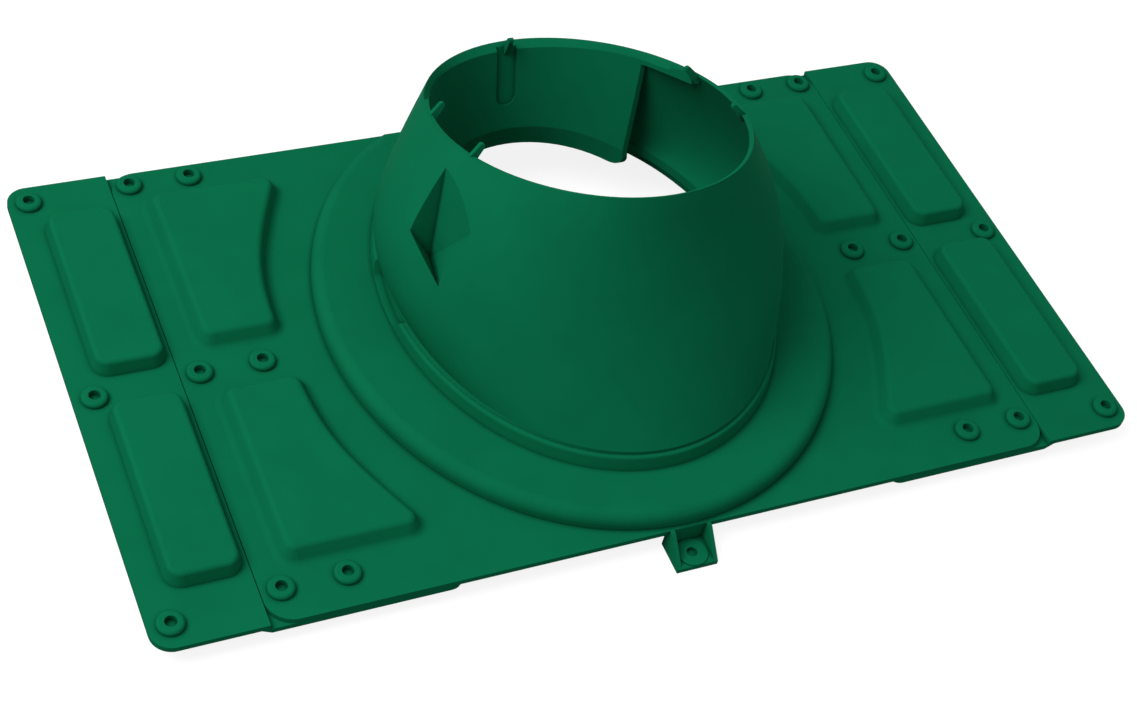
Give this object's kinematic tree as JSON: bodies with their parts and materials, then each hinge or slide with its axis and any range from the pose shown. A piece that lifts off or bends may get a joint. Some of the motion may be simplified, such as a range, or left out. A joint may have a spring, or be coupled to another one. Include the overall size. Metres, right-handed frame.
{
  "type": "roof vent flashing",
  "caption": "Moulded roof flashing with a leaning oval collar, round pipe sleeve, screw bosses and two joggled side wings.",
  "frame": {"origin": "on the underside of the centre sheet, midway between the four middle-row screw bosses of the centre panel", "axes": "+X across the roof, along the flashing's long side; +Y up the slope, away from the fixing lug; +Z out of the roof, square to the sheet"},
  "size_m": [0.625, 0.3624, 0.1815],
  "materials": {
    "panel_plastic": "satin moulded plastic, green",
    "wing_plastic": "satin moulded plastic, green"
  },
  "bodies": {
    "root": {"flashing_panel": "panel_plastic", "wing_left": "wing_plastic", "wing_right": "wing_plastic"}
  },
  "joints": []
}
